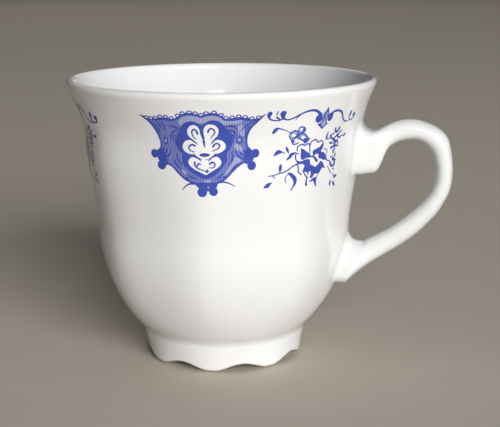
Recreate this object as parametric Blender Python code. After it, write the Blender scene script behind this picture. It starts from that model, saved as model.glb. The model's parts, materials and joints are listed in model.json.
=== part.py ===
"""A footed porcelain teacup: bowl, scalloped foot ring, ear handle and the slip seams that join them.

The cup's axis is vertical, the handle points along +X and the foot's pads stand on z = 0.
X is measured from the middle of the whole width, handle included, so the cup's axis lies at AXIS_X.
"""
import math

import bmesh
import bpy
from mathutils import Vector
from mathutils.geometry import interpolate_bezier

MM = 0.001

# Driving dimensions
HEIGHT = 78.9 * MM
RIM_RADIUS = 43.0 * MM
WAIST_RADIUS = 23.3 * MM
WAIST_Z = 8.4 * MM
FLOOR_Z = 12.0 * MM
GAP = 0.3 * MM
SEAM = 0.5 * MM

# Eight soft panels run up the bowl, and their corners stand over the foot's eight pads
PANELS = 8
PANEL_DEPTH = 0.013
PANEL_FADE_IN = (9.5 * MM, 22.0 * MM)
PANEL_FADE_OUT = (62.0 * MM, 77.0 * MM)

# Foot ring
FOOT_RADIUS = 22.2 * MM
FOOT_WALL = 3.2 * MM
FOOT_SEAM = 0.3 * MM
SCALLOP_RISE = 1.8 * MM
PAD_LAND = 0.07

# Handle, measured from the cup's axis
HANDLE_REACH = 64.3 * MM
BAND_START_THICK = 5.7 * MM
BAND_THICK = 4.5 * MM
BAND_LOW_THICK = 5.4 * MM
BAND_WIDE = 8.0 * MM
ROOT_THICK = 11.2 * MM
ROOT_WIDE = 15.0 * MM
ROOT_SPREAD = (0.85, 1.0)
BLOCK_HALF_WIDE = 7.6 * MM
BLOCK_TAPER = 0.42
BLOCK_EDGE = 1.2 * MM
UPPER_JOINT_Z = (51.0 * MM, 66.5 * MM)
LOWER_JOINT_Z = (17.5 * MM, 35.5 * MM)

# Mesh fineness
BOWL_SEGMENTS = 64
FOOT_SEGMENTS = 96
BAND_SIDES = 14

AXIS_X = (RIM_RADIUS - HANDLE_REACH) / 2


def clear_scene():
    for obj in list(bpy.data.objects):
        bpy.data.objects.remove(obj, do_unlink=True)


def smooth_step(value, low, high):
    t = min(max((value - low) / (high - low), 0.0), 1.0)
    return t * t * (3 - 2 * t)


def bezier_line(points, steps):
    """A line through a chain of cubic curves: each third point is a knot, the two between are handles."""
    line = []
    for i in range(0, len(points) - 1, 3):
        knots = [Vector((x * MM, y * MM, 0.0)) for x, y in points[i : i + 4]]
        piece = interpolate_bezier(*knots, steps + 1)
        line += piece[:-1]
    line.append(piece[-1])
    return [(p.x, p.y) for p in line]


# The bowl's outer line, (radius, height) in mm from the waist to just under the lip
OUTER_LINE = (
    (23.3, 8.4), (28.8, 13.6), (35.2, 23.0), (35.4, 37.0),
    (35.6, 45.0), (38.2, 54.0), (38.35, 61.0),
    (38.5, 67.5), (40.3, 71.5), (43.0, 77.6),
)
# Its inner line, from the flat of the floor to just under the lip
INNER_LINE = (
    (12.0, 12.0), (22.0, 12.0), (31.6, 19.0), (32.8, 37.0),
    (33.0, 45.0), (35.6, 54.0), (35.8, 61.0),
    (36.0, 67.5), (38.0, 72.0), (40.9, 77.6),
)
# The handle's middle line, (distance from the axis, height) in mm, from inside the upper joint
BAND_LINE = (
    (36.0, 61.4), (42.5, 61.0), (47.0, 64.9), (53.0, 64.9),
    (59.0, 64.9), (62.05, 60.5), (62.05, 54.0),
    (62.05, 46.5), (56.5, 40.2), (50.0, 35.6),
    (44.8, 31.9), (39.0, 28.4), (31.0, 25.2),
)
# The block under the upper joint: its outline seen from the side
BLOCK_LINE = ((33.0, 64.6), (41.2, 64.2), (46.6, 64.0), (46.9, 60.0), (45.2, 56.0), (43.4, 53.2), (33.0, 52.6))


def panelled(radius, angle, z):
    fade = smooth_step(z, *PANEL_FADE_IN) * (1 - smooth_step(z, *PANEL_FADE_OUT))
    return radius * (1 + PANEL_DEPTH * fade * math.cos(PANELS * angle))


def material(name, color, roughness):
    made = bpy.data.materials.new(name)
    made.use_nodes = True
    shader = made.node_tree.nodes["Principled BSDF"]
    shader.inputs["Base Color"].default_value = (*color, 1.0)
    shader.inputs["Roughness"].default_value = roughness
    shader.inputs["Metallic"].default_value = 0.0
    return made


def new_object(name, bm, parent, finish=None, sharp=math.radians(40)):
    bmesh.ops.recalc_face_normals(bm, faces=bm.faces)
    mesh = bpy.data.meshes.new(name)
    bm.to_mesh(mesh)
    bm.free()
    mesh.shade_smooth()
    mesh.set_sharp_from_angle(angle=sharp)
    obj = bpy.data.objects.new(name, mesh)
    bpy.context.scene.collection.objects.link(obj)
    obj.parent = parent
    if finish:
        mesh.materials.append(finish)
    else:
        obj.hide_render = True
        obj.display_type = "WIRE"
    return obj


def turned(line, segments, place):
    """Turns a closed outline round the cup's axis. place(radius, angle, z) gives each point its spot."""
    bm = bmesh.new()
    rings = []
    for radius, z in line:
        if radius == 0.0:
            rings.append([bm.verts.new((0.0, 0.0, z))] * segments)
            continue
        ring = []
        for i in range(segments):
            angle = math.tau * i / segments
            far, height = place(radius, angle, z)
            ring.append(bm.verts.new((far * math.cos(angle), far * math.sin(angle), height)))
        rings.append(ring)
    closing = [] if line[0][0] == 0.0 else [rings[0]]
    for low, high in zip(rings, rings[1:] + closing):
        for i in range(segments):
            j = (i + 1) % segments
            corners = list(dict.fromkeys((low[i], low[j], high[j], high[i])))
            bm.faces.new(corners)
    return bm


def bowl_place(radius, angle, z):
    return panelled(radius, angle, z), z


def make_bowl(root, finish):
    outer = bezier_line(OUTER_LINE, 6)
    inner = bezier_line(INNER_LINE, 5)
    middle = (outer[-1][0] + inner[-1][0]) / 2
    rise = HEIGHT - outer[-1][1]
    lip = []
    for degrees in range(15, 180, 25):
        a = math.radians(degrees)
        lip.append((middle + (RIM_RADIUS - middle) * math.cos(a), outer[-1][1] + rise * math.sin(a)))
    line = [(0.0, WAIST_Z), *outer, *lip, *reversed(inner), (0.0, FLOOR_Z)]
    return new_object("bowl", turned(line, BOWL_SEGMENTS, bowl_place), root, finish)


def foot_lift(angle):
    """How high the foot's edge stands off the table: flat on the pads, arched between them."""
    wave = (1 - math.cos(PANELS * angle)) / 2
    return SCALLOP_RISE * max(0.0, wave - PAD_LAND) / (1 - PAD_LAND)


def make_foot(root, finish):
    top = WAIST_Z - 2 * GAP - FOOT_SEAM

    def place(radius, angle, z):
        return radius, z + foot_lift(angle) * (1 - z / top)

    inner_low = FOOT_RADIUS - FOOT_WALL
    inner_top = WAIST_RADIUS - FOOT_WALL
    line = [
        (FOOT_RADIUS - 0.5 * MM, 0.0), (FOOT_RADIUS, 0.6 * MM),
        ((FOOT_RADIUS + WAIST_RADIUS) / 2 - 0.1 * MM, top * 0.55),
        (WAIST_RADIUS, top),
        (inner_top, top), (inner_low, 0.6 * MM), (inner_low + 0.5 * MM, 0.0),
    ]
    return new_object("foot_ring", turned(line, FOOT_SEGMENTS, place), root, finish)


def make_foot_seam(root, finish):
    low = WAIST_Z - GAP - FOOT_SEAM
    high = WAIST_Z - GAP
    outer = WAIST_RADIUS - 0.4 * MM
    inner = WAIST_RADIUS - FOOT_WALL + 0.4 * MM
    line = [(outer, low), (outer, high), (inner, high), (inner, low)]
    return new_object("foot_slip_seam", turned(line, BOWL_SEGMENTS, bowl_place), root, finish)


def bowl_cutter(name, root, offset):
    """The bowl's outer shape, solid and grown by offset, for cutting what meets it."""

    def place(radius, angle, z):
        return panelled(radius, angle, z) + offset, z

    outer = bezier_line(OUTER_LINE, 6)
    line = [(0.0, outer[0][1]), *outer, (0.0, outer[-1][1])]
    return new_object(name, turned(line, BOWL_SEGMENTS, place), root)


def band_size(share):
    """The band's thickness and width: slimmest at the loop's far side, spreading at the lower joint."""
    thick = BAND_START_THICK
    thick += (BAND_THICK - BAND_START_THICK) * smooth_step(share, 0.0, 0.5)
    thick += (BAND_LOW_THICK - BAND_THICK) * smooth_step(share, 0.5, 0.8)
    spread = smooth_step(share, *ROOT_SPREAD)
    thick += (ROOT_THICK - BAND_LOW_THICK) * spread
    wide = BAND_WIDE + (ROOT_WIDE - BAND_WIDE) * spread
    return thick, wide


def make_band():
    """An oval section carried along the handle's middle line."""
    line = bezier_line(BAND_LINE, 8)
    bm = bmesh.new()
    rings = []
    for i, (x, z) in enumerate(line):
        before = Vector(line[max(i - 1, 0)])
        after = Vector(line[min(i + 1, len(line) - 1)])
        along = (after - before).normalized()
        out = Vector((-along.y, along.x))
        thick, wide = band_size(i / (len(line) - 1))
        ring = []
        for k in range(BAND_SIDES):
            a = math.tau * k / BAND_SIDES
            push = thick / 2 * math.cos(a)
            ring.append(bm.verts.new((x + out.x * push, wide / 2 * math.sin(a), z + out.y * push)))
        rings.append(ring)
    for near, far in zip(rings, rings[1:]):
        for k in range(BAND_SIDES):
            m = (k + 1) % BAND_SIDES
            bm.faces.new((near[k], near[m], far[m], far[k]))
    bm.faces.new(rings[0])
    bm.faces.new(reversed(rings[-1]))
    return bm


def make_block():
    """The bracket under the upper joint, wide at the bowl and narrowing into the band."""
    bm = bmesh.new()
    sides = []
    for side in (-1, 1):
        ring = []
        for x, z in BLOCK_LINE:
            half = BLOCK_HALF_WIDE - BLOCK_TAPER * (x * MM - 38.0 * MM)
            ring.append(bm.verts.new((x * MM, side * half, z * MM)))
        sides.append(ring)
    count = len(BLOCK_LINE)
    for i in range(count):
        j = (i + 1) % count
        bm.faces.new((sides[0][i], sides[0][j], sides[1][j], sides[1][i]))
    bm.faces.new(sides[0])
    bm.faces.new(reversed(sides[1]))
    bmesh.ops.recalc_face_normals(bm, faces=bm.faces)
    bmesh.ops.bevel(bm, geom=bm.edges[:], offset=BLOCK_EDGE, segments=2, profile=0.5, affect="EDGES")
    return bm


def boolean(obj, name, operation, other):
    step = obj.modifiers.new(name, "BOOLEAN")
    step.operation = operation
    step.object = other
    step.solver = "EXACT"


def make_handle(root, finish, block, clearance):
    handle = new_object("handle", make_band(), root, finish)
    boolean(handle, "upper block", "UNION", block)
    boolean(handle, "fit to the bowl", "DIFFERENCE", clearance)
    return handle


def box_between(name, root, low, high):
    bm = bmesh.new()
    bmesh.ops.create_cube(bm, size=1.0)
    middle = [(a + b) / 2 for a, b in zip(low, high)]
    for vert in bm.verts:
        vert.co = Vector([m + v * (b - a) for m, v, a, b in zip(middle, vert.co, low, high)])
    return new_object(name, bm, root)


def make_seam(name, root, finish, z_range, block, inner, outer):
    """The film of slip between the bowl and one end of the handle, following the bowl's curve."""
    seam = new_object(name, make_band(), root, finish)
    half = 12 * MM
    zone = box_between(name + "_zone", root, (25 * MM, -half, z_range[0]), (48 * MM, half, z_range[1]))
    boolean(seam, "upper block", "UNION", block)
    boolean(seam, "one joint", "INTERSECT", zone)
    boolean(seam, "handle side", "INTERSECT", outer)
    boolean(seam, "bowl side", "DIFFERENCE", inner)
    return seam


def main():
    clear_scene()
    root = bpy.data.objects.new("cup_axis", None)
    bpy.context.scene.collection.objects.link(root)
    root.location.x = AXIS_X
    glaze = material("glazed_porcelain", (0.88, 0.885, 0.89), 0.12)
    slip = material("porcelain_slip", (0.80, 0.79, 0.76), 0.5)
    make_bowl(root, glaze)
    make_foot(root, glaze)
    make_foot_seam(root, slip)
    block = new_object("upper_block_shape", make_block(), root)
    near = bowl_cutter("seam_inner_face", root, GAP)
    far = bowl_cutter("seam_outer_face", root, GAP + SEAM)
    clearance = bowl_cutter("handle_clearance", root, 2 * GAP + SEAM)
    make_handle(root, glaze, block, clearance)
    make_seam("upper_slip_seam", root, slip, UPPER_JOINT_Z, block, near, far)
    make_seam("lower_slip_seam", root, slip, LOWER_JOINT_Z, block, near, far)


main()
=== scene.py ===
# %% [markdown]
# # A footed porcelain teacup with a printed border
# This lesson builds the looks of a small teacup round a measured frame. The cup is cast and glazed
# white, stands on a scalloped foot, has an ear-shaped handle, and carries a cobalt-blue print under
# its rim. Everything is in metres in the code, and the tables of sizes are in millimetres, because
# a cup is easier to think about that way.

# %% Load the frame
import json
import math

import bmesh
import bpy
import numpy as np
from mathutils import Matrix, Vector
from mathutils.geometry import delaunay_2d_cdt
from mathutils.kdtree import KDTree

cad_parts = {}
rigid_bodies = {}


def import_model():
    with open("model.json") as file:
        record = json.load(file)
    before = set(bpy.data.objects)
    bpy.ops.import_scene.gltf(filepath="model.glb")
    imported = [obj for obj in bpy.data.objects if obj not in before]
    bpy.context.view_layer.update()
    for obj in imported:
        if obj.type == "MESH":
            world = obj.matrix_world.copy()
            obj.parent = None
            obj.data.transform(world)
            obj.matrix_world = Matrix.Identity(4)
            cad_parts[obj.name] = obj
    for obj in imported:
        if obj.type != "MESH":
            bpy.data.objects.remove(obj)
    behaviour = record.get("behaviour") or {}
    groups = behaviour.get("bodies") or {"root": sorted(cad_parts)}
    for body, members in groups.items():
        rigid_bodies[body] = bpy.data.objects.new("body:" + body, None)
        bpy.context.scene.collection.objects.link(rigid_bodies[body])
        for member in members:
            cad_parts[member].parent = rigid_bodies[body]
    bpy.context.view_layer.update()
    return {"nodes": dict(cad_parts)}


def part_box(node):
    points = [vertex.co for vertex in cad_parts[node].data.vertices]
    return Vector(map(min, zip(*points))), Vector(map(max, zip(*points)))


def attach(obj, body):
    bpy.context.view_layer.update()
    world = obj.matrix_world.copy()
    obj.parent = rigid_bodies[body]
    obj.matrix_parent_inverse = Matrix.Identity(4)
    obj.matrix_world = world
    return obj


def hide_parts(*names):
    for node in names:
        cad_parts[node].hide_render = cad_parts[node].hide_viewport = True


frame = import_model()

MM = 0.001
TURN = math.tau
MERGE_GAP = 0.01 * MM
print("frame pieces:", sorted(frame["nodes"]))

# %% [markdown]
# ## Where things are
# The foot ring is round and stands on the table, so its box gives the cup's axis. All radii in
# this lesson are measured from that axis, and the handle points along +X from it.

# %% Measure the axis
foot_low, foot_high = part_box("foot_ring")
_, bowl_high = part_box("bowl")
AXIS = (foot_low.x + foot_high.x) / 2
print("axis at x = %.2f mm, cup is %.1f mm tall" % (AXIS / MM, bowl_high.z / MM))


# %% [markdown]
# ## Small helpers for working by hand
# Blender's operators act on what is selected, and the frame's pieces are still selected after
# loading. So each piece starts with nothing selected. `smooth_line` runs a curve through a row
# of given points, which is how the handle and the whole print are described.

# %% Helpers
def start_clean():
    """Leave edit mode and select nothing."""
    if bpy.context.object and bpy.context.object.mode != "OBJECT":
        bpy.ops.object.mode_set(mode="OBJECT")
    bpy.ops.object.select_all(action="DESELECT")


def name_piece(name):
    """Names the active object and its mesh, and gives the object back."""
    piece = bpy.context.object
    piece.name = name
    piece.data.name = name
    return piece


def read_points(piece):
    """The places of a piece's points, one row each."""
    points = np.empty(len(piece.data.vertices) * 3)
    piece.data.vertices.foreach_get("co", points)
    return points.reshape(-1, 3)


def write_points(piece, points):
    piece.data.vertices.foreach_set("co", np.asarray(points, float).ravel())
    piece.data.update()


def smooth_line(rows, steps, closed=False):
    """Points on a smooth line through the rows (Catmull-Rom). A row may hold any number of values."""
    rows = np.array(rows, float)
    if closed:
        padded = np.vstack([rows[-1], rows, rows[:2]])
    else:
        padded = np.vstack([2 * rows[0] - rows[1], rows, 2 * rows[-1] - rows[-2]])
    t = (np.arange(steps) / steps)[:, None]
    line = []
    for p0, p1, p2, p3 in zip(padded, padded[1:], padded[2:], padded[3:]):
        bend = 2 * p0 - 5 * p1 + 4 * p2 - p3
        twist = 3 * p1 - p0 - 3 * p2 + p3
        line.append(0.5 * (2 * p1 + (p2 - p0) * t + bend * t**2 + twist * t**3))
    if not closed:
        line.append(padded[-2:-1])
    return np.vstack(line)


def smooth_step(value, low, high):
    """Rises softly from 0 at low to 1 at high."""
    t = np.clip((value - low) / (high - low), 0.0, 1.0)
    return t * t * (3 - 2 * t)


def add_attribute(piece, name, values):
    """Stores one number per point, for a material to read."""
    layer = piece.data.attributes.new(name, "FLOAT", "POINT")
    layer.data.foreach_set("value", np.asarray(values, np.float32))


# %% [markdown]
# ## The wall's line
# A potter turns a cup from one line: under the base, round the foot ring, up the bulging wall,
# over the lip and down inside to the floor. That line is drawn here as a Bezier curve. Each row
# holds a handle, a knot and a handle, as (radius, height) in millimetres. The bowl bulges low
# down, pulls in a little below the print, and flares to a thin lip.

# %% Draw the profile
PROFILE = (
    # left handle, knot, right handle
    ((-2.0, 8.4), (0.0, 8.4), (6.0, 8.4)),
    ((14.0, 8.4), (18.4, 8.4), (19.4, 8.4)),
    ((19.95, 7.9), (19.9, 6.9), (19.8, 5.2)),
    ((19.2, 2.6), (19.1, 0.8), (19.1, 0.35)),
    ((19.35, 0.0), (19.8, 0.0), (20.3, 0.0)),
    ((20.9, 0.0), (21.45, 0.0), (21.9, 0.0)),
    ((22.2, 0.3), (22.25, 0.8), (22.4, 2.4)),
    ((22.8, 4.6), (23.15, 7.1), (23.25, 7.9)),
    ((23.75, 8.8), (24.47, 9.55), (29.67, 14.94)),
    ((35.21, 23.98), (35.4, 37.0), (35.6, 45.0)),
    ((38.2, 54.0), (38.35, 61.0), (38.5, 67.5)),
    ((40.2, 71.3), (42.75, 77.1), (43.25, 78.2)),
    ((42.7, 78.9), (41.95, 78.9), (41.35, 78.9)),
    ((41.0, 78.5), (40.8, 77.5), (38.0, 72.0)),
    ((36.0, 67.5), (35.8, 61.0), (35.6, 54.0)),
    ((33.0, 45.0), (32.8, 37.0), (31.6, 19.0)),
    ((22.0, 12.0), (12.0, 12.0), (8.0, 12.0)),
    ((4.0, 12.0), (0.0, 12.0), (-2.0, 12.0)),
)
PROFILE_STEPS = 34
PROFILE_SPACING = 0.34 * MM

start_clean()
bpy.ops.curve.primitive_bezier_curve_add(location=(0, 0, 0))
drawn = bpy.context.object
spline = drawn.data.splines[0]
spline.bezier_points.add(len(PROFILE) - len(spline.bezier_points))
for point, (left, knot, right) in zip(spline.bezier_points, PROFILE):
    point.handle_left_type = point.handle_right_type = "FREE"
    point.handle_left = (left[0] * MM, 0, left[1] * MM)
    point.co = (knot[0] * MM, 0, knot[1] * MM)
    point.handle_right = (right[0] * MM, 0, right[1] * MM)
spline.resolution_u = PROFILE_STEPS
bpy.ops.object.convert(target="MESH")
cup = name_piece("cup_body")
bpy.ops.object.mode_set(mode="EDIT")
bpy.ops.mesh.select_all(action="SELECT")
bpy.ops.mesh.remove_doubles(threshold=PROFILE_SPACING)
bpy.ops.object.mode_set(mode="OBJECT")
profile = read_points(cup)[:, (0, 2)]
print("profile points:", len(profile))

# %% [markdown]
# The outer part of that line is needed again: the print is wrapped on it and the handle is
# fitted to it. It is kept as a table of radius by height, and the eight soft panels are added
# by one formula. A moulded cup's panels are nearly flat, with a gentle corner between them. The
# corners stand over the foot's eight pads, and the panels fade out towards the foot and the rim.

# %% The outer surface as a formula
PANELS = 8
PANEL_DEPTH = 0.013
PANEL_CREASE = 0.35
PANEL_SOFTNESS = 0.08
FADE_IN = (9.5 * MM, 22.0 * MM)
FADE_OUT = (62.0 * MM, 77.0 * MM)
WAIST_Z = 8.4 * MM


def panel_wave(angle):
    """From -1 at the middle of a panel to 1 at its corner."""
    soft = np.cos(PANELS * angle)
    away = np.abs(np.sin(PANELS / 2 * angle))
    crease = 1 - 2 * (np.sqrt(away**2 + PANEL_SOFTNESS**2) - PANEL_SOFTNESS) / (
        math.sqrt(1 + PANEL_SOFTNESS**2) - PANEL_SOFTNESS
    )
    return (1 - PANEL_CREASE) * soft + PANEL_CREASE * crease


def panel_factor(angle, z):
    fade = smooth_step(z, *FADE_IN) * (1 - smooth_step(z, *FADE_OUT))
    return 1 + PANEL_DEPTH * fade * panel_wave(angle)


OUTER_ROWS = slice(8, 12)
t = np.linspace(0, 1, 200)[:, None]
knots = np.array(PROFILE)[OUTER_ROWS] * MM
outer = np.vstack([
    (1 - t) ** 3 * a[1] + 3 * (1 - t) ** 2 * t * a[2] + 3 * (1 - t) * t**2 * b[0] + t**3 * b[1]
    for a, b in zip(knots, knots[1:])
])


def bowl_radius(angle, z):
    """The bowl's outer radius from the axis, in metres."""
    return np.interp(z, outer[:, 1], outer[:, 0]) * panel_factor(angle, z)


print("radius at mid height: %.2f mm" % (bowl_radius(0.0, 40 * MM) / MM))

# %% [markdown]
# ## Turning the body
# Spin does what the wheel does: it carries the line once round the axis. The panels and the
# scalloped foot are not round, so they come afterwards, by moving the points, which keeps the wall
# in one piece. The foot stands on eight pads, and its edge lifts a little between them.

# %% Spin the body and shape it
SPIN_STEPS = 256
SCALLOP_RISE = 1.8 * MM
PAD_LAND = 0.07
FOOT_TOP = 7.5 * MM
FOOT_INNER = 15 * MM
WIPED_EDGE = 0.5 * MM

bpy.ops.object.mode_set(mode="EDIT")
bpy.ops.mesh.select_all(action="SELECT")
bpy.ops.mesh.spin(steps=SPIN_STEPS, angle=TURN, center=(0, 0, 0), axis=(0, 0, 1))
bpy.ops.mesh.select_all(action="SELECT")
bpy.ops.mesh.remove_doubles(threshold=MERGE_GAP)
bpy.ops.mesh.normals_make_consistent(inside=False)
bpy.ops.object.mode_set(mode="OBJECT")
points = read_points(cup)
angle = np.arctan2(points[:, 1], points[:, 0])
radius = np.hypot(points[:, 0], points[:, 1])
height = points[:, 2]
wave = (1 - np.cos(PANELS * angle)) / 2
lift = SCALLOP_RISE * np.maximum(0, wave - PAD_LAND) / (1 - PAD_LAND)
is_foot = (height < FOOT_TOP) & (radius > FOOT_INNER)
new_height = np.where(is_foot, height + lift * (1 - height / FOOT_TOP), height)
new_radius = radius * panel_factor(angle, height)
shaped = np.column_stack([
    AXIS + new_radius * np.cos(angle),
    new_radius * np.sin(angle),
    new_height,
])
write_points(cup, shaped)
bpy.ops.object.shade_smooth()
wiped = (height < WIPED_EDGE) & (radius > FOOT_INNER)
add_attribute(cup, "bare", wiped.astype(float))
print("body:", len(cup.data.polygons), "faces")

# %% [markdown]
# ## The handle's sections
# The ear handle is cast, and no two of its sections are alike. At the bowl it starts as a square
# bracket. It narrows to a slim round band, swings round the fingers, and spreads again where it
# meets the lower wall. So it is described by stations: the outer line, the inner line, half the
# width, and how square the section is (2 is an oval, 4 is nearly a box). The last number makes a
# section wider towards its outer side, which gives the lower end its spatula shape.

# %% The handle's stations
STATIONS = (
    # outer x, z, inner x, z, half width, squareness, skew
    (42.3, 64.4, 38.9, 52.5, 7.2, 4.6, 0.0),
    (43.4, 64.7, 41.0, 52.8, 6.4, 4.6, 0.0),
    (44.6, 65.3, 42.9, 53.0, 5.6, 4.3, 0.0),
    (45.6, 65.8, 43.9, 53.8, 5.15, 4.0, 0.0),
    (46.6, 66.3, 44.8, 55.6, 4.85, 3.6, 0.0),
    (47.6, 66.75, 45.7, 58.0, 4.6, 3.1, 0.0),
    (48.6, 67.1, 47.0, 60.1, 4.45, 2.7, 0.0),
    (50.0, 67.4, 49.2, 61.4, 4.3, 2.4, 0.0),
    (52.2, 67.6, 51.6, 62.0, 4.2, 2.3, 0.0),
    (55.2, 67.3, 54.0, 62.05, 4.1, 2.2, 0.0),
    (58.4, 66.2, 56.4, 61.1, 4.0, 2.2, 0.0),
    (61.0, 64.6, 58.1, 59.3, 4.0, 2.2, 0.0),
    (62.8, 62.4, 58.9, 57.7, 4.0, 2.2, 0.0),
    (63.5, 60.0, 59.35, 56.0, 4.0, 2.2, 0.0),
    (64.0, 57.2, 59.65, 54.2, 4.0, 2.2, 0.0),
    (64.3, 54.0, 59.65, 52.2, 4.0, 2.2, 0.0),
    (64.2, 51.0, 59.3, 50.0, 4.0, 2.2, 0.0),
    (63.6, 47.8, 58.4, 47.7, 4.0, 2.2, 0.0),
    (62.2, 44.7, 56.9, 45.5, 4.0, 2.2, 0.0),
    (60.3, 41.5, 54.6, 42.9, 4.0, 2.2, 0.0),
    (57.8, 38.6, 52.2, 40.7, 4.0, 2.2, 0.0),
    (54.6, 35.4, 49.6, 38.5, 4.0, 2.2, 0.0),
    (50.3, 32.1, 46.6, 36.4, 4.1, 2.2, 0.0),
    (46.0, 29.4, 43.6, 34.7, 4.4, 2.3, 0.05),
    (41.8, 26.7, 41.0, 33.4, 5.1, 2.4, 0.12),
    (38.2, 24.0, 40.4, 32.95, 6.1, 2.5, 0.2),
    (35.2, 21.2, 39.6, 32.8, 6.9, 2.5, 0.25),
)
SECTION_POINTS = 48
STATION_STEPS = 4

around = TURN * np.arange(SECTION_POINTS) / SECTION_POINTS


def section(row):
    """One ring of points, from a station's row: x, y, z from the cup's axis."""
    outer_x, outer_z, inner_x, inner_z, half_wide, square, skew = row
    across = np.sign(np.cos(around)) * np.abs(np.cos(around)) ** (2 / square)
    side = np.sign(np.sin(around)) * np.abs(np.sin(around)) ** (2 / square)
    x = (outer_x + inner_x) / 2 + across * (outer_x - inner_x) / 2
    z = (outer_z + inner_z) / 2 + across * (outer_z - inner_z) / 2
    y = side * half_wide * (1 + skew * across)
    return np.column_stack([x, y, z]) * MM


rings = [section(row) for row in smooth_line(STATIONS, STATION_STEPS)]
print("handle rings:", len(rings))

# %% [markdown]
# ## Joining the handle to the bowl
# A handle is stuck on with slip, and the glaze fills the corner. So near each end the rings leave
# the band, lean outwards along a quarter circle, and end on the bowl's wall. `wall_x` says where
# that wall is, and the last ring is sunk a little, so that no gap shows.

# %% Root rings
ROOT_RINGS = 9
SUNK = 0.25 * MM
FIRST_GUESS = 36 * MM
UPPER_FILLET = (3.6 * MM, 1.3 * MM, 1.0 * MM)
LOWER_FILLET = (3.6 * MM, 1.3 * MM, 0.7 * MM)


def wall_x(y, z):
    """The bowl's outer surface on the handle's side, for points off to one side too."""
    x = np.full_like(y, FIRST_GUESS)
    for _ in range(4):
        x = np.sqrt(bowl_radius(np.arctan2(y, x), z) ** 2 - y**2)
    return x


def root_rings(base, fillet):
    """Rings from the section out to the wall. fillet: its size at the top, sides and bottom."""
    y, z = base[:, 1], base[:, 2]
    next_y, next_z = np.roll(y, -1) - np.roll(y, 1), np.roll(z, -1) - np.roll(z, 1)
    length = np.hypot(next_y, next_z)
    out_y, out_z = next_z / length, -next_y / length
    flip = np.sign(np.sum(out_y * y + out_z * (z - z.mean())))
    out_y, out_z = out_y * flip, out_z * flip
    top, sides, bottom = fillet
    upward, downward = np.maximum(out_z, 0) ** 2, np.maximum(-out_z, 0) ** 2
    reach = base[:, 0] - wall_x(y, z)
    size = np.minimum(sides + (top - sides) * upward + (bottom - sides) * downward, reach)
    made = []
    for step in range(1, ROOT_RINGS + 1):
        share = 1 - math.sin(math.pi / 2 * step / ROOT_RINGS)
        gap = reach * share
        near = np.clip(1 - gap / size, 0, 1)
        lean = size * (1 - np.sqrt(1 - near**2))
        ring_y, ring_z = y + out_y * lean, z + out_z * lean
        made.append(np.column_stack([wall_x(ring_y, ring_z) + gap, ring_y, ring_z]))
    made.append(made[-1] - np.array([SUNK, 0, 0]))
    return made


upper_root = root_rings(rings[0], UPPER_FILLET)
lower_root = root_rings(rings[-1], LOWER_FILLET)
all_rings = upper_root[::-1] + rings + lower_root
print("rings with both roots:", len(all_rings))

# %% [markdown]
# The rings are joined by extruding: one circle is added, and it is extruded and placed once for
# each ring. The two ends are filled, and the normals recalculated. A curve with a round bevel would
# be shorter, but it can't change from a square bracket to an oval band.

# %% Extrude the handle
SHARP_ANGLE = math.radians(50)

start_clean()
bpy.ops.mesh.primitive_circle_add(vertices=SECTION_POINTS, radius=5 * MM, location=(0, 0, 0))
handle = name_piece("handle")
bpy.ops.object.mode_set(mode="EDIT")
shift = np.array([AXIS, 0, 0])
bpy.ops.mesh.select_all(action="SELECT")
for index, ring in enumerate(all_rings):
    if index:
        bpy.ops.mesh.extrude_edges_move()
    work = bmesh.from_edit_mesh(handle.data)
    picked = [v for v in work.verts if v.select]
    for vert, place in zip(picked, ring + shift):
        vert.co = place
    bmesh.update_edit_mesh(handle.data)
bpy.ops.mesh.edge_face_add()
bpy.ops.mesh.select_all(action="DESELECT")
work = bmesh.from_edit_mesh(handle.data)
for vert in work.verts:
    vert.select = vert.index < SECTION_POINTS
work.select_flush_mode()
bmesh.update_edit_mesh(handle.data)
bpy.ops.mesh.edge_face_add()
bpy.ops.mesh.select_all(action="SELECT")
bpy.ops.mesh.normals_make_consistent(inside=False)
bpy.ops.object.mode_set(mode="OBJECT")
bpy.ops.object.shade_smooth_by_angle(angle=SHARP_ANGLE)
spans = np.ptp(read_points(handle), axis=0) / MM
print("handle:", len(handle.data.polygons), "faces, spans in mm", spans.round(1).tolist())

# %% [markdown]
# ## Glaze gathers in corners, and painted shade greys the handle
# Clear glaze runs while it is molten and pools where surfaces meet. There it looks faintly
# green-grey. Each point gets a number for it: high near the handle's joints, half of that in the
# waist groove, and a little all along the handle, as painted shade that greys the whole handle.

# %% Where the glaze pools, and the handle's painted shade
# painted shade: the least share of green-grey tint anywhere on the handle, which greys it all over
HANDLE_PAINTED_SHADE = 0.4
WAIST_POOL = 0.5
CUP_SPREAD = 1.1 * MM
HANDLE_SPREAD = 0.8 * MM
WAIST_SPREAD = 0.9 * MM
WAIST_INNER = 20 * MM

joint_points = np.vstack([upper_root[-2], lower_root[-2]]) + shift
tree = KDTree(len(joint_points))
for index, place in enumerate(joint_points):
    tree.insert(place, index)
tree.balance()


def pooling(piece, spread):
    """1 at the handle's joints, falling off with distance."""
    near = np.array([tree.find(place)[2] for place in read_points(piece)])
    return np.exp(-((near / spread) ** 2))


waist = np.exp(-(((height - WAIST_Z) / WAIST_SPREAD) ** 2)) * (radius > WAIST_INNER)
joint = pooling(handle, HANDLE_SPREAD)
add_attribute(cup, "pool_and_shade", np.maximum(pooling(cup, CUP_SPREAD), WAIST_POOL * waist))
# painted shade: every point of the handle takes at least the painted-shade share of the green-grey tint
add_attribute(handle, "pool_and_shade", np.maximum(joint, HANDLE_PAINTED_SHADE))
add_attribute(handle, "bare", np.zeros(len(handle.data.vertices)))
print("pooled points on the handle:", int((joint > 0.5).sum()))


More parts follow.
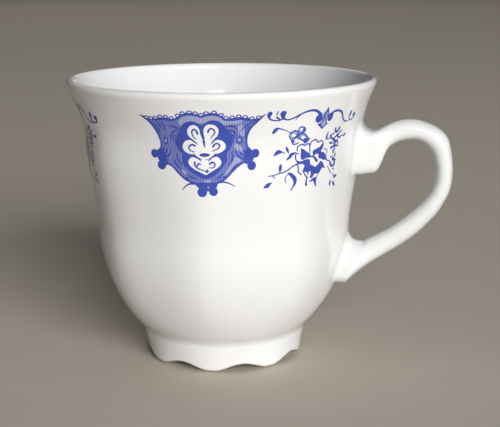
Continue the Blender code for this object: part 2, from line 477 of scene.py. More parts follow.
# %% [markdown]
# ## Drawing the print
# The blue border was printed under the glaze from an engraved plate. It is drawn flat first, as
# the engraver would: the sheet's width runs along u and its height is the height on the cup, both
# in millimetres. Shapes are laid one over another, like cut paper, in three strengths of blue and
# in bare white, which cuts a hole. The topmost shape wins.

# %% Ways to lay a shape
INK, HATCH, PALE, BARE = 0, 1, 2, -1
TAPER = (0.5, 0.4, 0.2)
art = []


def patch(tone, *rows):
    """A closed shape with a smooth edge."""
    art.append((smooth_line(rows, 4, closed=True), tone))


def cut(tone, *lines):
    """A closed shape whose edge is several smooth lines, with a corner where they meet."""
    art.append((np.vstack([smooth_line(line, 4) for line in lines]), tone))


def dab(tone, u, v, wide, tall):
    """An oval. wide and tall: its half width and half height."""
    turn = np.linspace(0, TURN, 16, endpoint=False)
    art.append((np.column_stack([u + wide * np.cos(turn), v + tall * np.sin(turn)]), tone))


def brush(tone, widths, *rows):
    """A stroke. widths: at its start, middle and end."""
    line = smooth_line(rows, 5)
    along = np.gradient(line, axis=0)
    along /= np.linalg.norm(along, axis=1)[:, None]
    half = np.interp(np.linspace(0, 1, len(line)), (0, 0.5, 1), widths)[:, None] / 2
    side = np.column_stack([-along[:, 1], along[:, 0]]) * half
    start_tip = line[:1] - along[:1] * half[:1]
    end_tip = line[-1:] + along[-1:] * half[-1:]
    art.append((np.vstack([start_tip, line + side, end_tip, (line - side)[::-1]]), tone))


def leaf(tone, tail, tip, wide):
    """A pointed leaf, from its tail to its tip."""
    tail, tip = np.array(tail), np.array(tip)
    across = np.array([tail[1] - tip[1], tip[0] - tail[0]])
    across = across / np.linalg.norm(across) * wide / 2
    near, far = tail + (tip - tail) * 0.3, tail + (tip - tail) * 0.7
    patch(tone, tail, near + across, far + 0.8 * across, tip, far - 0.8 * across, near - across)


def inside(places, edge):
    """Which places lie inside a closed outline, counted by how often it winds round them."""
    turns = np.zeros(len(places), int)
    for (u0, v0), (u1, v1) in zip(edge, np.roll(edge, -1, 0)):
        side = (u1 - u0) * (places[:, 1] - v0) - (places[:, 0] - u0) * (v1 - v0)
        turns += (v0 <= places[:, 1]) & (v1 > places[:, 1]) & (side > 0)
        turns -= (v0 > places[:, 1]) & (v1 <= places[:, 1]) & (side < 0)
    return turns != 0


def inset(points, by):
    """The same outline, drawn this much further in, and cut short in its sharp corners."""
    along = np.roll(points, -1, 0) - np.roll(points, 1, 0)
    along /= np.linalg.norm(along, axis=1)[:, None]
    side = np.column_stack([-along[:, 1], along[:, 0]])
    u, v = points.T
    area = np.sum(u * np.roll(v, -1) - np.roll(u, -1) * v)
    moved = points + side * by * np.sign(area)
    gaps = np.linalg.norm(moved[:, None] - points[None], axis=2).min(axis=1)
    return moved[(gaps > 0.9 * by) & inside(moved, points)]


# %% [markdown]
# ### The shield
# The main motif is a shield with a pearled top, round knobs at its sides and foot, and a white
# palmette on a dark field. The ground round the field is hatched, with feather strokes on it.

# %% Shield: outline, knobs and ground
SHIELD = (
    ((-15.7, 73), (-14.3, 72.5), (-12.5, 72.2), (-10.5, 72.4), (-8.6, 72.6), (-6.7, 72.3), (-5.6, 73.1),
     (-4.3, 73.8), (-2.6, 74.1), (-1.2, 73.8), (0, 73.4), (1.2, 73.8), (2.6, 74.1), (4.2, 73.6),
     (5.4, 72.6), (7, 72.6), (9, 72.9), (11, 72.6), (12.6, 72.3), (13.8, 72.7), (15, 73.5)),
    ((15, 73.5), (14, 72.3), (13, 71.2), (12.1, 70.2), (11.4, 69.1), (11, 67.9), (10.9, 66.6),
     (11.1, 65.4), (11.6, 64.4), (12.2, 63.8)),
    ((12.4, 61.6), (11, 60.8), (10, 60.8), (9, 60.2), (8, 59.4), (7, 58.4), (6.1, 57.4), (5, 56.5),
     (3.8, 56), (3.1, 55.3), (2.6, 54.4)),
    ((-0.8, 54.2), (-1.3, 55.1), (-2.2, 55.7), (-3.4, 56), (-4.8, 56.7), (-6, 57.7), (-7.1, 58.8),
     (-8.1, 59.8), (-9, 60.3), (-10, 60.4), (-11.2, 61.3)),
    ((-12.2, 63.8), (-11.5, 64.3), (-11.1, 65.3), (-11.2, 66.6), (-11.6, 68), (-12.3, 69.5),
     (-13.1, 70.8), (-14.2, 71.9), (-15.7, 73)),
)
KNOBS = (
    (-13, 63, 1.12, 1.12), (-11.05, 60.2, 1.25, 1.2), (13, 63.3, 1.08, 1.15), (12.1, 60.2, 1.15, 1.2),
    (-0.5, 53.6, 1.25, 1.3), (2.35, 53.75, 1.12, 1.15),
)
cut(INK, *SHIELD)
for knob in KNOBS:
    dab(INK, *knob)
art.append((inset(art[0][0], 0.5), HATCH))
patch(PALE, (-5.6, 71.9), (-5.2, 72.3), (-4.4, 73.1), (-2.9, 73.5), (-1.2, 73.2), (0.1, 72.8),
      (1.4, 73.2), (2.7, 73.5), (4.1, 73), (5.1, 72), (7, 72), (9.4, 72.2), (9, 71.3), (7, 71),
      (5.4, 70.8), (3, 71.4), (-3, 71.2), (-4.6, 70.6), (-5.4, 71))
patch(PALE, (8, 66), (9.4, 65.2), (10, 64), (9.2, 63.6), (8.2, 64.4), (7.6, 65.2))
patch(PALE, (7.8, 62.6), (9.4, 61.6), (8.4, 60.8), (7.2, 59.6), (6, 58.4), (5, 58), (6.2, 59.8),
      (7, 61.2))
patch(PALE, (-5.8, 59.6), (-4.9, 59.2), (-4.2, 58.4), (-4.9, 58.2))
patch(PALE, (9.2, 71), (10, 69.8), (10.3, 68.2), (9.6, 67.8), (8.6, 69), (8.4, 70.2))
brush(INK, (0.45, 0.42, 0.45), (-13.4, 71.9), (-11, 71.95), (-9, 72.1), (-7.2, 71.9), (-6, 72.3),
      (-4.6, 73.15), (-2.7, 73.5), (-1.2, 73.3), (-0.1, 72.95), (1, 73.3), (2.6, 73.5), (4.2, 73.1),
      (5.2, 72.3), (7, 72.1), (9, 72.3), (11, 72), (13.2, 71.9))
patch(INK, (-15.6, 73), (-14.2, 72.7), (-13, 72.2), (-13.2, 71.2), (-14.3, 72.1))
patch(INK, (14.9, 73.5), (13.8, 72.9), (12.8, 72.3), (13, 71.4), (14, 72.3))
patch(INK, (-11.4, 64.5), (-10.3, 63.9), (-9.6, 62.6), (-9.2, 61.2), (-9.6, 60.3), (-10.8, 60),
      (-12, 61.6), (-12.6, 63.2))
patch(INK, (11.3, 65), (10.6, 64.4), (10.2, 63), (10, 61.8), (10.5, 60.8), (11.6, 60.6), (12.6, 61.8),
      (12.8, 63.2))
patch(INK, (-2.2, 55.9), (0, 56.2), (2, 56.2), (3.4, 55.9), (3, 54.6), (1.9, 54.5), (1, 53.8),
      (0.2, 54.3), (-1.2, 54.6))
dab(PALE, 1, 56.5, 1, 0.35)
dab(PALE, 1.1, 54.9, 0.16, 0.5)
dab(INK, -4.2, 57.1, 0.5, 0.4)
dab(INK, 5.2, 57.4, 0.5, 0.4)
brush(INK, TAPER, (-2.2, 55.8), (-3.7, 55.7), (-4.8, 55), (-5.6, 54.1))
brush(INK, TAPER, (3, 55.9), (4.6, 56.25), (6.2, 55.9), (7.8, 55))
print("shield so far:", len(art), "shapes")

# %% [markdown]
# Feather strokes give the hatched ground its depth. The engraver cut each one in a single move, so
# each is one `brush` here, thin at its ends and wide in the middle.

# %% Shield: feather strokes on the ground
FEATHERS = (
    ((-8, 66.9), (-7.8, 68.1), (-6.9, 69.1), (-5.4, 69.4)),
    ((-8.2, 70.4), (-7.2, 70.4), (-6.2, 70), (-5.2, 69.9)),
    ((-7.4, 66.5), (-7.3, 67.5), (-6.7, 68.3)),
    ((-10.2, 71.4), (-9.4, 70.4), (-9.2, 69.2)),
    ((-12.8, 71.3), (-11.5, 70.3), (-10.5, 68.8)),
    ((-12, 70), (-11.2, 69), (-10.8, 68)),
    ((-11.4, 71.5), (-10.5, 70.5), (-10, 69.3)),
    ((-8.3, 64.4), (-8.6, 63.3), (-9.6, 62.4), (-10.6, 62)),
    ((-9.3, 64.6), (-9.6, 63.6), (-10.4, 62.9)),
    ((-10.2, 65), (-10.3, 64.2), (-10.9, 63.4)),
    ((-6.8, 63.4), (-6.5, 62.2), (-6, 61.2), (-5.8, 60.4)),
    ((-7.6, 62.2), (-7.3, 61.2), (-6.6, 60.2), (-5.4, 59.2)),
    ((5.2, 70.3), (6.4, 70.6), (7.6, 70.3), (8.4, 69.5)),
    ((5.7, 69.4), (6.9, 69.4), (7.8, 68.8), (8.2, 67.8)),
    ((6.6, 68.4), (7.4, 68.1), (7.8, 67.2)),
    ((12.7, 71.6), (11.2, 71.1), (10, 70.2), (9.2, 69.1)),
    ((12, 70.6), (10.9, 70), (10.1, 68.9)),
    ((11.2, 69.4), (10.5, 68.7), (10.2, 67.8)),
    ((8, 64.2), (8.4, 63.2), (9.3, 62.3), (10.5, 61.9)),
    ((8.9, 64.2), (9.4, 63.3), (10.3, 62.7)),
    ((9.8, 64.4), (10.2, 63.8), (10.8, 63.3)),
    ((7, 63.8), (7.3, 62.6), (6.9, 61.4), (6.2, 60.4)),
    ((6.2, 58), (7, 59.2), (8, 60.4), (9, 61)),
    ((3, 57.2), (4, 57.6), (5, 58.6)),
    ((-1.6, 57.2), (-2.8, 57.4), (-3.8, 58)),
)
for feather in FEATHERS:
    brush(INK, (0.2, 0.55, 0.2), *feather)
for u, v, wide, tall in ((-9.5, 66.5, 0.66, 1), (8.85, 66.9, 0.85, 0.95)):
    dab(INK, u, v, wide, tall)
    dab(PALE, u, v, wide * 0.45, tall * 0.5)

# %% [markdown]
# The palmette is bare glaze in a dark field. It could be white paint, but bare patches cut real
# holes, so that the cup's own glaze shows. Blue curls are then laid on the petals.

# %% Shield: the dark field and the palmette
patch(INK, (-5.2, 69.9), (-4.6, 71), (-3.5, 71.6), (-2.2, 71.85), (-1.1, 71.4), (-0.1, 70.8), (0.9, 71.5),
      (1.8, 72), (2.8, 72.1), (3.9, 71.8), (4.9, 71), (5.5, 70), (6.4, 69.2), (7.2, 68.2), (7.4, 67),
      (7.1, 65.6), (6.4, 64.4), (5.7, 63.4), (5.9, 62.2), (5.4, 60.9), (4.5, 59.7), (3.3, 58.4),
      (2, 57.5), (0.6, 57.1), (-0.8, 57.4), (-2.2, 58.2), (-3.6, 59.2), (-4.7, 60.2), (-5.3, 61.4),
      (-5.4, 62.4), (-5.2, 63.3), (-5.9, 64.1), (-6.6, 65.1), (-6.9, 66.2), (-6.8, 67.2), (-6.2, 68.3),
      (-5.6, 69.2))
PALMETTE = (
    ((-3.55, 69.6), (-3, 70.5), (-2.1, 70.85), (-1.2, 70.5), (-0.7, 69.7), (-0.55, 68.6), (-0.2, 67.6),
     (0, 66.5), (-0.4, 65.8), (-1.3, 66), (-2.4, 67), (-3.2, 67.8), (-3.65, 68.7)),
    ((0.5, 70.2), (1.1, 70.9), (2.1, 71.05), (3.1, 70.7), (3.75, 69.9), (3.8, 68.9), (3.35, 67.8),
     (2.6, 67), (1.9, 66.1), (1.2, 65.7), (0.7, 66.3), (0.5, 67.4), (0.3, 68.6), (0.25, 69.5)),
    ((-1.3, 66), (-2.2, 66.75), (-3.3, 67), (-4.3, 66.7), (-4.95, 65.8), (-5.05, 64.9), (-4.6, 64.1),
     (-3.6, 63.5), (-2.5, 63.4), (-1.6, 63.6), (-0.8, 64.2), (-0.5, 65.2)),
    ((1.9, 66.2), (2.9, 66.85), (3.9, 67.05), (4.9, 66.6), (5.5, 65.7), (5.35, 64.7), (4.6, 64),
     (3.5, 63.55), (2.5, 63.6), (1.7, 64), (1, 64.6), (1.1, 65.6)),
    ((-1.3, 66.1), (-0.3, 67), (0.3, 67.5), (1, 67), (1.9, 66.1), (1.9, 64.6), (2.7, 63.6), (2.3, 62.9),
     (1.4, 62.3), (0.4, 62.1), (-0.6, 62.3), (-1.5, 62.8), (-2, 63.5), (-1, 64.4), (-1.2, 65.4)),
    ((-1.8, 62.4), (-2.6, 62.65), (-3.4, 62.2), (-3.75, 61.3), (-3.4, 60.5), (-2.6, 59.8), (-1.6, 59.2),
     (-0.6, 58.7), (0.6, 58.2), (0.9, 59.5), (0.7, 61), (0.4, 62.3), (-0.8, 62)),
    ((2.7, 62.65), (3.5, 62.7), (4.2, 62), (4.4, 61.1), (3.9, 60.3), (3, 59.6), (2, 59), (1.2, 58.5),
     (0.6, 58.2), (0.2, 60), (0.4, 61.6), (1.2, 62.1), (1.8, 62.2)),
)
for petal in PALMETTE:
    patch(BARE, *petal)
dab(INK, 0.35, 63.2, 1.3, 0.48)
brush(INK, (0.3, 0.62, 0.25), (0.2, 67.5), (0.25, 66.5), (0.38, 65.2))
for line in (
    ((-3.1, 67.4), (-2.2, 66.7), (-1.3, 65.95)),
    ((3.4, 67.6), (2.6, 66.8), (2, 66)),
    ((-2.3, 63.1), (-1.4, 62.5), (-0.5, 61.6)),
    ((3, 63), (2, 62.5), (1.2, 61.6)),
):
    brush(INK, TAPER, *line)
patch(INK, (0.1, 59.5), (0.6, 59.2), (0.9, 59.7), (1.2, 59.2), (1.6, 59.4), (1.2, 58.9), (0.7, 58.6),
      (0.4, 59))
CURLS = (
    ((-1.2, 68.6), (-1.45, 69.3), (-2, 69.75), (-2.5, 69.2), (-2.5, 68.5), (-2.2, 67.8), (-1.6, 67.2)),
    ((1.3, 69), (1.6, 69.7), (2.2, 69.95), (2.85, 69.4), (2.8, 68.6), (2.3, 68), (1.9, 67.4)),
    ((-1.9, 65.5), (-2.6, 65.8), (-3.35, 65.4), (-3.45, 64.8), (-3, 64.2), (-2.1, 63.95)),
    ((2.4, 65.2), (2.8, 65.9), (3.5, 66.1), (4.05, 65.6), (3.8, 64.9), (3, 64.5), (2.2, 64.15)),
    ((-2.1, 61.4), (-2.1, 60.7), (-1.6, 60), (-0.8, 59.5), (0.2, 59.2)),
    ((-1.5, 60.5), (-1.1, 61), (-0.6, 60.7)),
    ((1.5, 60.9), (2.1, 61.35), (2.8, 61), (2.7, 60.3), (2.1, 59.9), (1.4, 60)),
)
for curl in CURLS:
    brush(INK, (0.5, 0.4, 0.22), *curl)
dab(INK, -1.25, 68.7, 0.3, 0.28)
dab(INK, 1.35, 69.1, 0.26, 0.26)
print("shield:", len(art), "shapes")

# %% [markdown]
# The row of pearls is a blue bead with a white core, many times over, so a loop lays it.

# %% Shield: the pearls
PEARLS = (
    (-13.6, 72.5), (-12.5, 72.35), (-11.3, 72.5), (-10, 72.9), (-8.6, 72.9), (-7.2, 72.6), (-5.6, 73.3),
    (-4.4, 73.95), (-2.75, 74.2), (-1.4, 74), (-0.1, 73.6), (1.1, 74.05), (2.9, 74.2), (4.5, 73.6),
    (5.6, 72.8), (7, 72.95), (8.5, 73.15), (10, 72.95), (11.6, 72.55), (13.2, 72.75),
)
for tone, wide, tall in ((INK, 0.66, 0.5), (BARE, 0.36, 0.2)):
    for u, v in PEARLS:
        dab(tone, u, v - 0.1, wide, tall)

# %% [markdown]
# ### The ribbon and the flower spray
# To the right of the shield a ribbon runs under the rim, tied at a small tulip, and below it hangs
# a loose spray: one large open flower, a small one, a sprig and some scattered leaves.

# %% Ribbon
patch(INK, (15.2, 73), (15.4, 73.8), (16, 74), (16.45, 73.5), (16.2, 72.9), (15.9, 72.3), (15.4, 72.4))
brush(INK, (0.5, 0.35, 0.4), (15.7, 72.6), (16.2, 71.9), (17.3, 71.6), (18.3, 71.55), (19.2, 71.9))
leaf(INK, (17.4, 72.5), (18.8, 71.7), 0.5)
brush(HATCH, (0.3, 0.4, 0.3), (17.8, 74), (17.6, 73.4), (17.6, 72.8))
patch(INK, (18.4, 73.2), (18.7, 73.9), (19.4, 74), (19.95, 73.6), (19.8, 72.8), (19.8, 72.2),
      (20.3, 71.7), (19.4, 71.7), (18.8, 72.3))
brush(INK, (0.35, 0.5, 0.9), (19.7, 71.8), (20.8, 71.6), (22.2, 72), (23.6, 72.7), (25.2, 73.35),
      (26.8, 73.6), (28.2, 73.35), (29.4, 72.6), (30.2, 71.9))
brush(INK, (0.4, 0.3, 0.15), (23.7, 72.6), (23.1, 72), (22.7, 71.3))
dab(INK, 29.6, 71.2, 1.15, 1.15)
cut(INK, ((31.9, 74.2), (31.35, 73.1), (30.8, 72.2), (30.8, 71), (30.4, 70.1), (29.4, 69.6)),
    ((30.5, 68.9), (31.35, 68.25), (32.2, 68.9), (33.1, 69.4)),
    ((32.5, 70.3), (32.5, 71.5), (32.5, 72.7), (31.9, 74.2)))
patch(PALE, (31.95, 72.9), (31.4, 71.8), (31.2, 70.6), (30.7, 69.6), (31.5, 68.9), (32.3, 69.6),
      (32.15, 70.7), (32.25, 71.8))
brush(INK, (0.3, 0.3, 0.2), (31, 72.2), (31.6, 71.3), (31.9, 70.2))
patch(INK, (32.6, 72), (33.4, 72.4), (34.3, 72.1), (34.5, 71.2), (34.2, 70.4), (33.5, 70.1), (32.8, 70.4),
      (32.6, 71.2))
brush(INK, (0.7, 0.55, 0.35), (33.4, 72), (34.6, 72.6), (35.8, 72.7), (37, 72.45), (38, 71.9), (38.8, 71),
      (39.5, 70.2), (40.4, 69.5), (41.6, 69.15), (43, 69.1))
dab(INK, 42.8, 71.1, 0.62, 0.95)
brush(INK, (0.6, 0.45, 0.5), (42.7, 70.4), (43.2, 69.6), (44.2, 69.2), (45.4, 69.5), (45.9, 70.2))
dab(INK, 45.3, 70.6, 0.8, 0.6)

# %% [markdown]
# The open flower is drawn as a printer sees it: outlines first, then the petals' dark inner parts
# as closed patches. The gaps between them are the petals' white edges.

# %% Large flower
for line in (
    ((24.25, 63.25), (24.15, 63.9), (24.35, 64.4), (24.95, 64.7), (25.6, 64.85), (26.3, 64.5),
     (26.85, 64.75), (27.45, 64.85), (27.8, 64.25), (27.9, 63.5), (28, 62.4)),
    ((24.5, 62.5), (23.9, 62.45), (23.8, 61.7), (23.9, 61), (24.25, 60.6)),
    ((27.9, 64.2), (28.1, 64.95), (28.5, 65.4), (29.25, 65.65), (29.95, 65.6), (30.3, 65.1),
     (30.85, 64.95), (31.6, 65.2), (32.3, 64.85), (32.8, 64.4)),
    ((24.3, 59.8), (24.7, 58.7), (24.7, 58), (25, 57.45), (25.7, 56.9)),
    ((26.3, 57.6), (26.75, 56.9), (27.3, 56.2), (27.8, 55.9)),
    ((34, 60.1), (34.7, 59.65), (35.6, 59.35), (36.3, 59)),
):
    brush(INK, (0.34, 0.4, 0.34), *line)
brush(HATCH, (0.3, 0.36, 0.3), (33, 62.8), (33.9, 62.7), (34.5, 62.2), (34.4, 61.4), (34.1, 60.8))
patch(INK, (25.2, 63.75), (25.95, 63.6), (26.6, 63.1), (27.3, 62.6), (27.9, 62.3), (28.4, 61.5),
      (27.9, 61.15), (27.2, 61.2), (26.4, 60.9), (25.8, 60.8), (25.3, 61.2), (25.25, 62.3), (25.3, 63))
patch(INK, (24.1, 60.8), (25, 60.5), (25.95, 60.6), (26.75, 60.85), (27.5, 60.9), (28.1, 60.5),
      (28.15, 59.8), (28.5, 59.3), (29.1, 59), (29.7, 58.65), (30.15, 58.6), (30.9, 59.1), (31.5, 59.5),
      (31.9, 59.9), (32.5, 59.6), (33.1, 59.1), (33.45, 58.4), (34.1, 57.8), (33.5, 57.8), (33, 58),
      (32.4, 57.6), (31.75, 56.7), (30.9, 56.6), (30.15, 56.75), (29.7, 56.5), (29.4, 55.9), (28.7, 55.7),
      (28.4, 56.1), (28.6, 56.8), (28.6, 57.3), (28.2, 57.6), (27.9, 57.3), (27.8, 56.5), (27.4, 57.2),
      (27, 57.6), (26.3, 57.5), (26, 57.9), (26.2, 58.5), (26.4, 59.05), (26.4, 59.4), (25.6, 59.8),
      (24.8, 59.9), (24.2, 60.2))
patch(INK, (29, 62.9), (30, 63.2), (30.7, 63.45), (31.4, 63.6), (32.1, 64.2), (32.8, 64.5), (32.9, 64),
      (32.7, 63.3), (32.2, 62.7), (31.95, 62.35), (32.5, 62.15), (33.3, 61.9), (33.85, 61.3),
      (34.25, 60.7), (34.6, 60), (33.9, 59.95), (33.2, 59.95), (32.5, 60.2), (31.75, 60.5), (31, 60.8),
      (31.1, 61.4), (30.85, 61.8), (30.3, 61.95), (29.8, 61.7), (29.15, 61.55), (28.95, 62.1))
brush(INK, (0.35, 0.7, 0.9), (28.3, 61.4), (29.15, 61.35), (29.7, 60.9), (30.1, 60.45), (30.5, 60.05))
brush(INK, (0.3, 0.6, 0.75), (27.4, 56.1), (27.4, 55.1), (27.4, 54.4), (27.5, 54))
brush(INK, (0.25, 0.75, 0.5), (28.4, 54.8), (29.1, 55.1), (30, 55.4), (30.8, 55.5))
patch(INK, (29.5, 55.4), (30.9, 55.8), (30.85, 54.6), (31.05, 53.7), (31.2, 53.1), (30.4, 53.7), (29.9, 54.6))
brush(HATCH, (0.3, 0.4, 0.2), (30.8, 55.6), (31.1, 56.1), (31.2, 56.5))

# %% [markdown]
# The small flower has pale petals with bare tips, so its outline is laid after them, on top. The
# leaves need two points each, and `leaf` gives them all one shape.

# %% Small flower, leaves and twig
patch(PALE, (22, 67), (22.6, 68.2), (23.5, 68.4), (24.4, 68.9), (25.6, 69), (25.9, 68.3), (25.8, 67.6),
      (26.8, 66.9), (27, 66.1), (26, 65.6), (24.6, 66.2), (23.5, 65.4), (22.8, 65.9))
for middle in ((22.9, 67.4), (24.9, 68.8), (23.6, 66), (25.6, 66.6)):
    dab(BARE, *middle, 0.55, 0.42)
for line in (
    ((21.7, 67), (21.9, 67.8), (22.6, 68.45), (23.4, 68.5), (24.1, 68.1), (23.7, 67.4)),
    ((24.1, 68.5), (24.3, 69.3), (25.1, 69.4), (25.9, 68.9), (25.8, 68.1), (25, 67.8)),
    ((25.3, 67.8), (26.2, 67.3), (26.9, 66.6), (27.2, 66)),
    ((21.8, 67), (22.3, 66.3), (22.8, 65.9), (22.8, 65.2), (23.6, 65), (24.4, 65.4)),
    ((24, 67), (25, 66.2), (26.1, 65.6)),
):
    brush(INK, (0.34, 0.42, 0.34), *line)
brush(INK, (0.35, 0.75, 0.5), (22.9, 66.3), (24, 67.2), (25.2, 67.9))
dab(INK, 22.8, 65.8, 0.48, 0.45)
dab(INK, 25.6, 68.6, 0.4, 0.55)
patch(INK, (25.7, 66.1), (26.6, 66.45), (27.3, 66.25), (28, 66.4), (27.5, 65.8), (26.9, 65.2), (26.1, 65))
patch(INK, (17.1, 68), (17.2, 69), (17.8, 69.6), (18.6, 69.65), (18.4, 69), (17.8, 68.3))
brush(INK, (0.4, 0.22, 0.22), (18.3, 69.5), (19.8, 69.1), (21.2, 68.5), (22.4, 67.9))
patch(INK, (17.8, 62.2), (18.2, 63.2), (18.9, 63.8), (19.6, 63.7), (20.3, 63.15), (19.4, 62.8), (18.6, 62.5))
brush(INK, (0.35, 0.3, 0.2), (19.7, 63.4), (20.3, 63.1), (20.9, 62.8))
leaf(INK, (21.1, 64.6), (21.9, 62.7), 0.65)
leaf(INK, (21.9, 62.2), (24, 62.9), 0.75)
leaf(INK, (22.9, 62.3), (21.2, 61), 0.7)
brush(HATCH, (0.25, 0.3, 0.25), (23.6, 62.8), (24.2, 62.6), (24.8, 62.4))
brush(INK, (0.25, 0.36, 0.4), (16.6, 57.2), (18, 57.3), (19.3, 57.7), (20.6, 57.95), (22, 58.6),
      (23.2, 59.4), (24.4, 59.85), (25.8, 60))
brush(INK, (0.3, 0.26, 0.15), (17.6, 57.3), (18, 56.9), (18.4, 56.4))
leaf(INK, (19.8, 60.2), (19.6, 57.9), 0.85)
patch(INK, (21.7, 57.8), (22.8, 57.65), (23.6, 57.1), (24.3, 56.3), (24.5, 55.4), (24.2, 54.4),
      (23.6, 53.7), (23.1, 52.8), (22.95, 53.3), (23.3, 54), (23.6, 54.8), (23.5, 55.5), (23.1, 56.1),
      (22.5, 56.8))
brush(INK, (0.2, 0.28, 0.15), (21.9, 57.5), (21.3, 56.7), (21.2, 55.8), (21.7, 55.1))
patch(INK, (15.4, 54.2), (15.8, 54.9), (16.6, 55.4), (17.7, 55.45), (17.2, 54.9), (16.8, 54.2), (16, 54.1))

# %% [markdown]
# The sprig climbs beside the handle: short twigs that end in round buds, so twigs and buds are two
# tables.

# %% Sprig beside the handle
dab(INK, 33.8, 65.9, 0.42, 0.78)
leaf(HATCH, (33.7, 65.8), (34.3, 67.3), 0.7)
brush(HATCH, (0.4, 0.4, 0.4), (34.1, 65.3), (35, 65.35), (36, 65.5))
for widths, line in (
    ((0.7, 0.7, 0.75), ((37.2, 67.8), (37.4, 67.1), (38.2, 66.75), (38.9, 67.3), (39.3, 67.8))),
    ((0.4, 0.6, 0.7), ((35.7, 65.9), (36.1, 65.35), (36.7, 65.05), (37.7, 64.8))),
    ((0.35, 0.4, 0.3), ((35.7, 66.1), (36.4, 66.4), (37.2, 66.5))),
    ((0.5, 0.75, 0.55), ((37, 64.9), (37.9, 64.3), (38.7, 64.2), (39.5, 64.3))),
    ((0.6, 0.55, 0.35), ((38.3, 65.7), (39.2, 66), (40, 66.5), (40.9, 66.8))),
    ((0.7, 0.55, 0.35), ((38.9, 65.7), (39.5, 65.2), (40.2, 65), (40.9, 64.95))),
    ((0.3, 0.25, 0.25), ((40.6, 65.3), (41.4, 65.35), (42.2, 65.15))),
    ((0.45, 0.6, 0.4), ((35.3, 64.25), (36.1, 63.95), (37, 64.1))),
    ((0.7, 0.55, 0.4), ((36.3, 62.7), (37.3, 62.95), (38.4, 63.05), (39.8, 62.8))),
    ((0.4, 0.5, 0.35), ((39.2, 64.2), (39.6, 63.6), (39.8, 63))),
    ((0.5, 0.7, 0.6), ((36.1, 58.9), (36.4, 58.2), (37.2, 57.8), (38.1, 57.8), (38.55, 58.4),
     (38.3, 59.1), (37.6, 59.5))),
    ((0.6, 0.45, 0.25), ((37.7, 59.6), (38.5, 59.3), (39.3, 59.15))),
    ((0.4, 0.6, 0.4), ((38.1, 62.8), (38.1, 62.3), (38.2, 61.9))),
):
    brush(INK, widths, *line)
for u, v, wide, tall in (
    (35.6, 65.95, 0.5, 0.42), (37.1, 64.95, 0.75, 0.36), (38.9, 65.75, 0.6, 0.4), (38.4, 64.2, 0.9, 0.42),
    (36.4, 62.7, 0.5, 0.4), (38.1, 63.05, 0.65, 0.5), (37.6, 59.65, 0.68, 0.55), (36.4, 58.55, 0.55, 0.48),
    (38.4, 58.3, 0.5, 0.6), (38.1, 56.9, 0.5, 0.28), (37.3, 67.5, 0.4, 0.42), (39.2, 67.5, 0.45, 0.38),
):
    dab(INK, u, v, wide, tall)
for u, v, wide, tall in (
    (37.6, 61.6, 0.5, 0.55), (38.5, 60.6, 0.42, 0.6), (37.9, 63.7, 0.8, 0.3), (38, 65.4, 0.5, 0.3),
):
    dab(HATCH, u, v, wide, tall)
brush(HATCH, (0.4, 0.45, 0.3), (36, 60.1), (36.8, 60.4), (37.5, 60.6))
brush(HATCH, (0.25, 0.4, 0.3), (35, 58.1), (35.9, 57.1), (36.8, 56.2), (37.2, 55.9))
brush(HATCH, (0.35, 0.4, 0.35), (38.1, 55.7), (38.5, 55.2), (39.2, 54.8))
leaf(INK, (42, 65.1), (43.7, 65.7), 0.75)
leaf(INK, (38.8, 54.4), (40.6, 54.9), 0.85)
dab(INK, 37.4, 53.15, 0.46, 0.85)
leaf(INK, (38.7, 53.4), (40.3, 51.8), 0.85)
print("whole print:", len(art), "shapes")

# %% [markdown]
# ## From shapes to one thin sheet
# The shapes overlap, so their edges are cut into one net of triangles, with a 1 mm grid added so
# that the sheet can bend. Each triangle takes the strength of the topmost shape over its middle,
# and triangles over bare white are left out. No operator does this, so it is done in code.

# %% Cut the shapes into triangles
GRID = 1.0
GRID_START = (0.37, 0.41)
WELD = 1e-4

corners, edges = [], []
for edge, tone in art:
    first = len(corners)
    corners += [Vector(place) for place in edge]
    edges += [(first + i, first + (i + 1) % len(edge)) for i in range(len(edge))]
low, high = np.array(corners).min(0), np.array(corners).max(0)
for u in np.arange(low[0] + GRID_START[0], high[0], GRID):
    for v in np.arange(low[1] + GRID_START[1], high[1], GRID):
        corners.append(Vector((u, v)))
sheet_points, _, sheet_faces, *_ = delaunay_2d_cdt(corners, edges, [], 0, WELD, False)
sheet_points = np.array([tuple(place) for place in sheet_points])
sheet_faces = np.array([tuple(face) for face in sheet_faces if len(face) == 3])
middles = sheet_points[sheet_faces].mean(axis=1)
tones = np.full(len(middles), BARE)
for edge, tone in art:
    near = np.all((middles > edge.min(0)) & (middles < edge.max(0)), axis=1)
    spots = np.flatnonzero(near)
    tones[spots[inside(middles[spots], edge)]] = tone
sheet_faces, tones = sheet_faces[tones != BARE], tones[tones != BARE]
used, flat = np.unique(sheet_faces, return_inverse=True)
sheet_points, sheet_faces = sheet_points[used], flat.reshape(-1, 3)
print("print sheet:", len(sheet_faces), "triangles")

# %% [markdown]
# ## Wrapping the print
# Each sheet is laid on the wall, a few hundredths of a millimetre proud, and it takes the wall's
# own normals, so reflections run on across its edge. The border repeats three times round the cup,
# not quite evenly, because each transfer was laid on by hand. The flat drawing stays on as a UV map
# in millimetres, for the hatching.

# %% Wrap three prints
PRINT_RADIUS = 38.4
PRINT_TURNS = (-87.4, 35.1, 157.6)
PRINT_LIFT = 0.03 * MM


def wall_place(turn, z, lift):
    """Places on the bowl's outer surface, moved out by lift."""
    radius = bowl_radius(turn, z) + lift
    return np.column_stack([radius * np.cos(turn), radius * np.sin(turn), z])


def wall_normal(turn, z):
    """Which way the wall faces, from two short steps along it."""
    small, up = 1e-4, 1e-3 * MM
    round_way = wall_place(turn + small, z, 0) - wall_place(turn - small, z, 0)
    up_way = wall_place(turn, z + up, 0) - wall_place(turn, z - up, 0)
    normal = np.cross(round_way, up_way)
    return normal / np.linalg.norm(normal, axis=1)[:, None]


